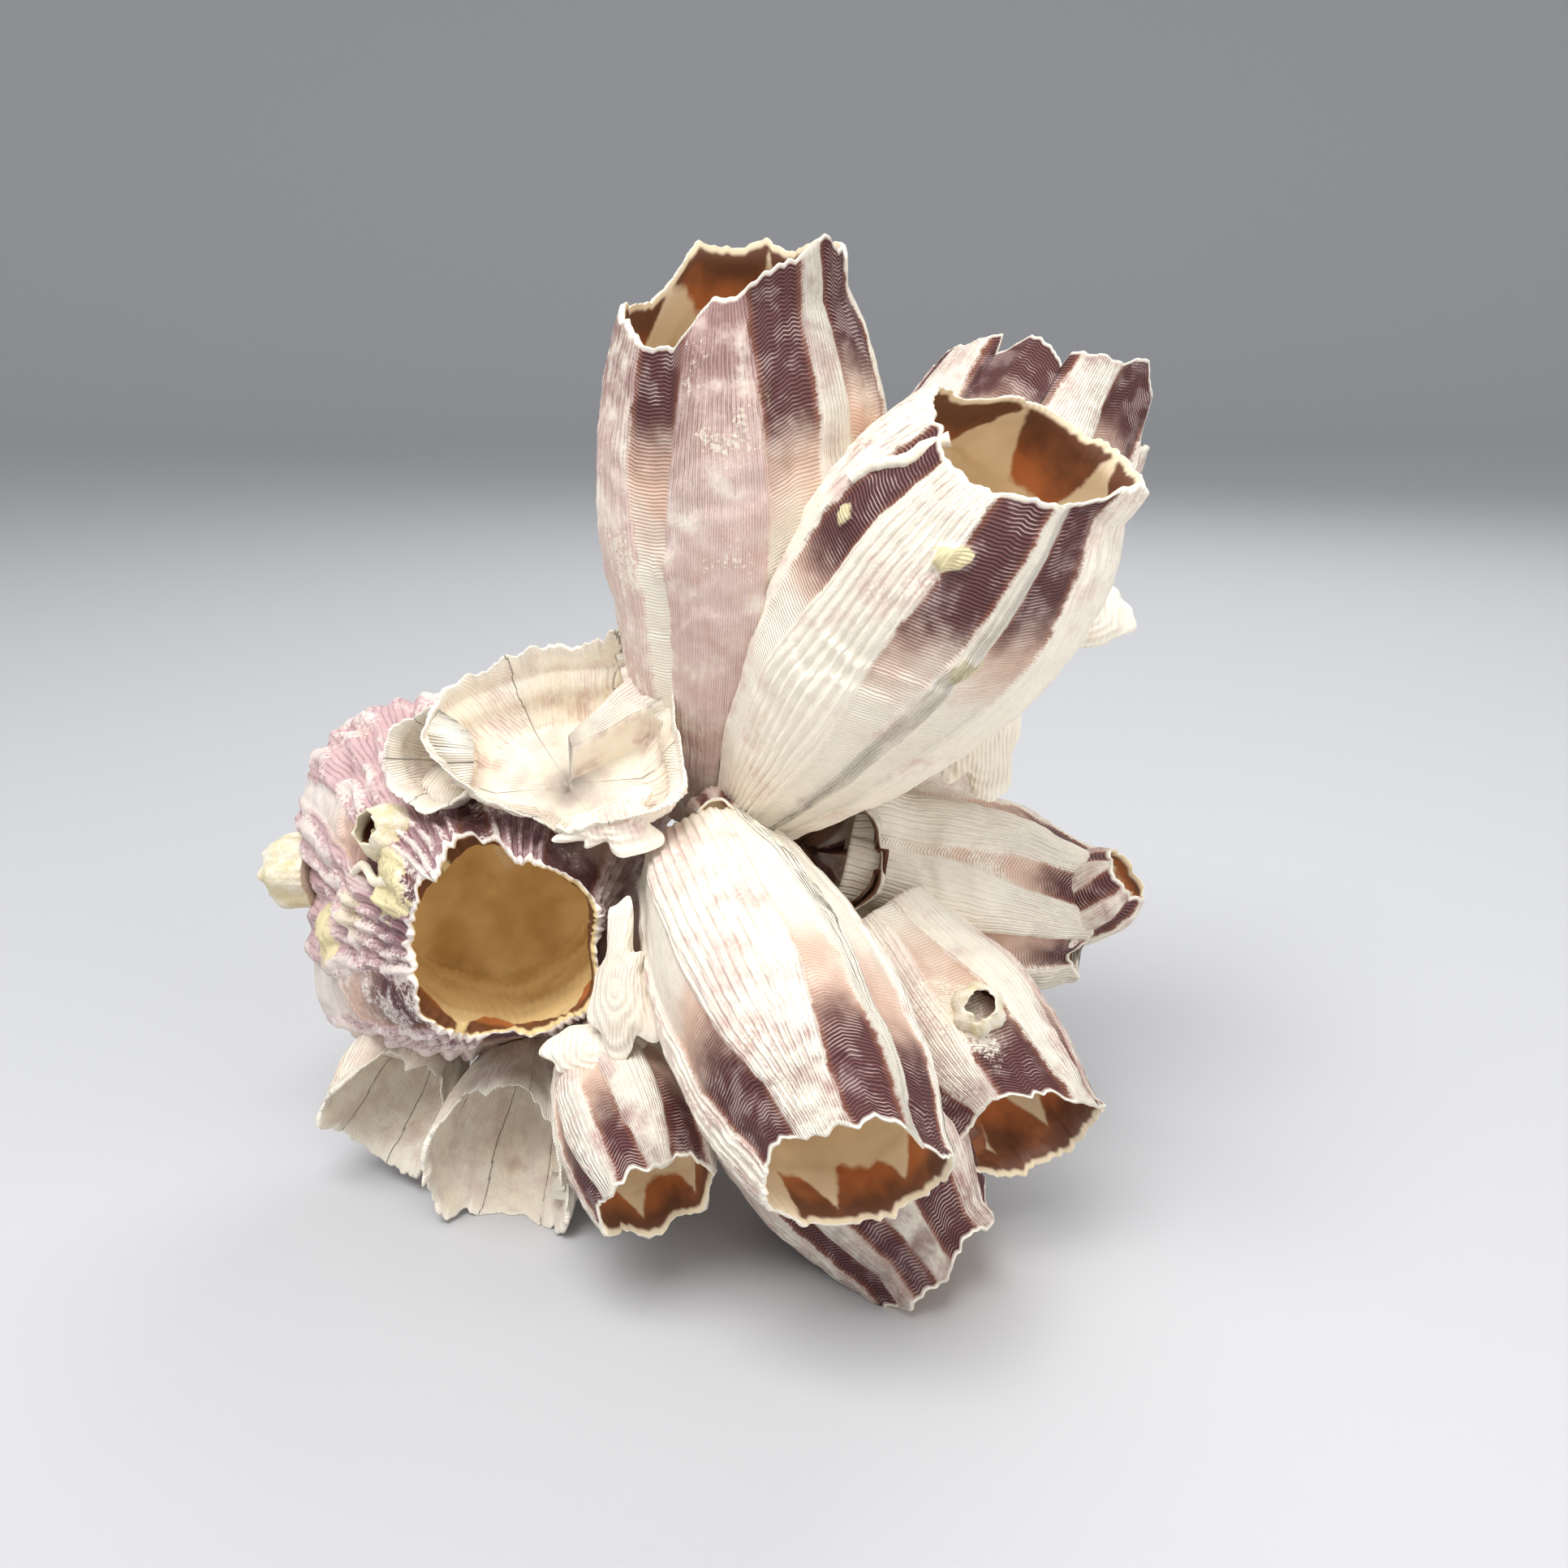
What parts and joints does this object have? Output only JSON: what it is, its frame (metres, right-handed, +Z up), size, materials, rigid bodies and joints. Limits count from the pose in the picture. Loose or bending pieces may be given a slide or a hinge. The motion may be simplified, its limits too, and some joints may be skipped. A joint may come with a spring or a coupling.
{
  "type": "barnacle cluster",
  "caption": "Cluster of cup-shaped acorn barnacle shells grown on one another, with open mouths facing outwards, standing on its lowest shells.",
  "frame": {"origin": "middle of the bounding box's base, on the surface that the cluster stands on", "axes": "+Z up as it stands, -Y towards the front with the widest mouths, +X to the viewer's right; +Y is the shortest way through the cluster"},
  "size_m": [0.1224, 0.0976, 0.1236],
  "materials": {
    "banded_shell": "matte shell plates banded in purple, pink and cream",
    "chalky_shell": "worn chalky cream shell",
    "crust": "rough pale young shells and crusts"
  },
  "bodies": {
    "root": {"left_barnacle": "banded_shell", "back_upper_barnacle": "banded_shell", "right_barnacle": "banded_shell", "middle_barnacle": "banded_shell", "top_barnacle": "banded_shell", "upper_back_barnacle": "banded_shell", "upper_right_barnacle": "banded_shell", "back_resting_barnacle": "banded_shell", "back_left_barnacle": "banded_shell", "back_right_barnacle": "banded_shell", "bottom_barnacle": "banded_shell", "lower_right_barnacle": "banded_shell", "back_lower_barnacle": "banded_shell", "front_barnacle": "banded_shell", "lower_left_fan": "chalky_shell", "lower_middle_barnacle": "chalky_shell", "lower_left_cup": "chalky_shell", "small_hanging_barnacle": "banded_shell", "broken_cup": "chalky_shell", "upper_left_cup": "chalky_shell", "left_edge_barnacle": "crust", "left_crust_barnacle": "crust", "right_rim_barnacle": "banded_shell", "scar_barnacle": "crust", "junction_barnacle": "banded_shell", "back_young_barnacle": "crust", "side_plate": "chalky_shell", "under_plate": "chalky_shell", "front_flange": "chalky_shell", "hanging_flange": "chalky_shell"}
  },
  "joints": []
}
